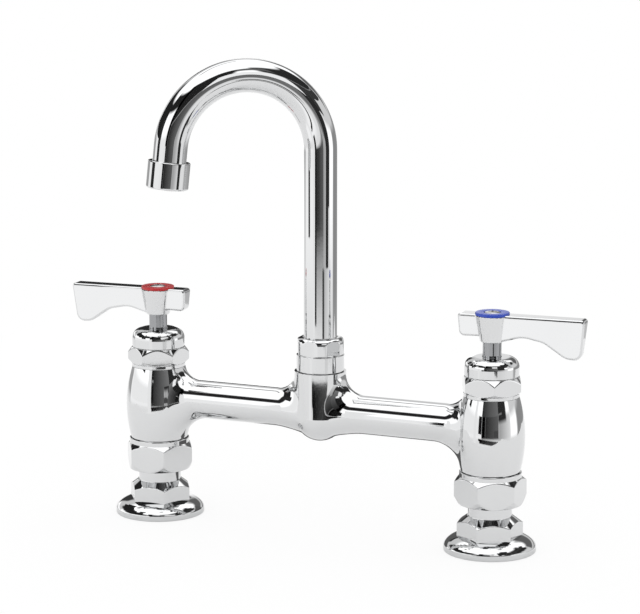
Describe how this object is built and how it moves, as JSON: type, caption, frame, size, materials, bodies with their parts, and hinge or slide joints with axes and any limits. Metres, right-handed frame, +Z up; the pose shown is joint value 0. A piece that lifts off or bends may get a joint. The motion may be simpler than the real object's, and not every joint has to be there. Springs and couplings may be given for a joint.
{
  "type": "faucet",
  "caption": "Deck-mount bridge faucet with a swivelling gooseneck spout, an aerator and two quarter-turn lever valves on hexagonal unions and round feet.",
  "frame": {"origin": "on the deck plane, midway between the two inlets, on the axis of the spout riser", "axes": "+X along the bridge from the hot leg to the cold leg, -Y towards the user, +Z up out of the deck"},
  "size_m": [0.3074, 0.0905, 0.267],
  "materials": {
    "chrome": "polished",
    "brass": "machined",
    "rubber": "matte",
    "ceramic": "lapped",
    "white_plastic": "moulded",
    "hot_index": "gloss",
    "cold_index": "gloss"
  },
  "bodies": {
    "bridge": {"bridge_body": "chrome", "swivel_nut": "chrome", "hot_bonnet": "chrome", "hot_bonnet_seal": "rubber", "hot_deck_gasket": "rubber", "hot_foot": "chrome", "hot_lower_disc": "ceramic", "hot_seat_seal": "rubber", "hot_tailpiece": "chrome", "hot_union_nut": "chrome", "hot_union_washer": "rubber", "cold_bonnet": "chrome", "cold_bonnet_seal": "rubber", "cold_deck_gasket": "rubber", "cold_foot": "chrome", "cold_lower_disc": "ceramic", "cold_seat_seal": "rubber", "cold_tailpiece": "chrome", "cold_union_nut": "chrome", "cold_union_washer": "rubber"},
    "spout": {"aerator_gasket": "rubber", "aerator_housing": "chrome", "aerator_insert": "white_plastic", "spout_bearing": "white_plastic", "spout_ferrule": "brass", "spout_o_rings": "rubber", "spout_tube": "chrome"},
    "hot_valve": {"hot_handle": "chrome", "hot_handle_screw": "chrome", "hot_index_ring": "hot_index", "hot_stem": "chrome", "hot_stem_o_rings": "rubber", "hot_thrust_washer": "white_plastic", "hot_upper_disc": "ceramic"},
    "cold_valve": {"cold_handle": "chrome", "cold_handle_screw": "chrome", "cold_index_ring": "cold_index", "cold_stem": "chrome", "cold_stem_o_rings": "rubber", "cold_thrust_washer": "white_plastic", "cold_upper_disc": "ceramic"}
  },
  "joints": [
    {"name": "spout_swivel", "type": "hinge", "parent": "bridge", "child": "spout", "pos_m": [0, 0, 0.092], "axis": [0, 0, 1], "continuous": true},
    {"name": "hot_valve_turn", "type": "hinge", "parent": "bridge", "child": "hot_valve", "pos_m": [-0.1016, 0, 0.1083], "axis": [0, 0, 1], "range_deg": [0, 90]},
    {"name": "cold_valve_turn", "type": "hinge", "parent": "bridge", "child": "cold_valve", "pos_m": [0.1016, 0, 0.1083], "axis": [0, 0, 1], "range_deg": [-90, 0]}
  ]
}
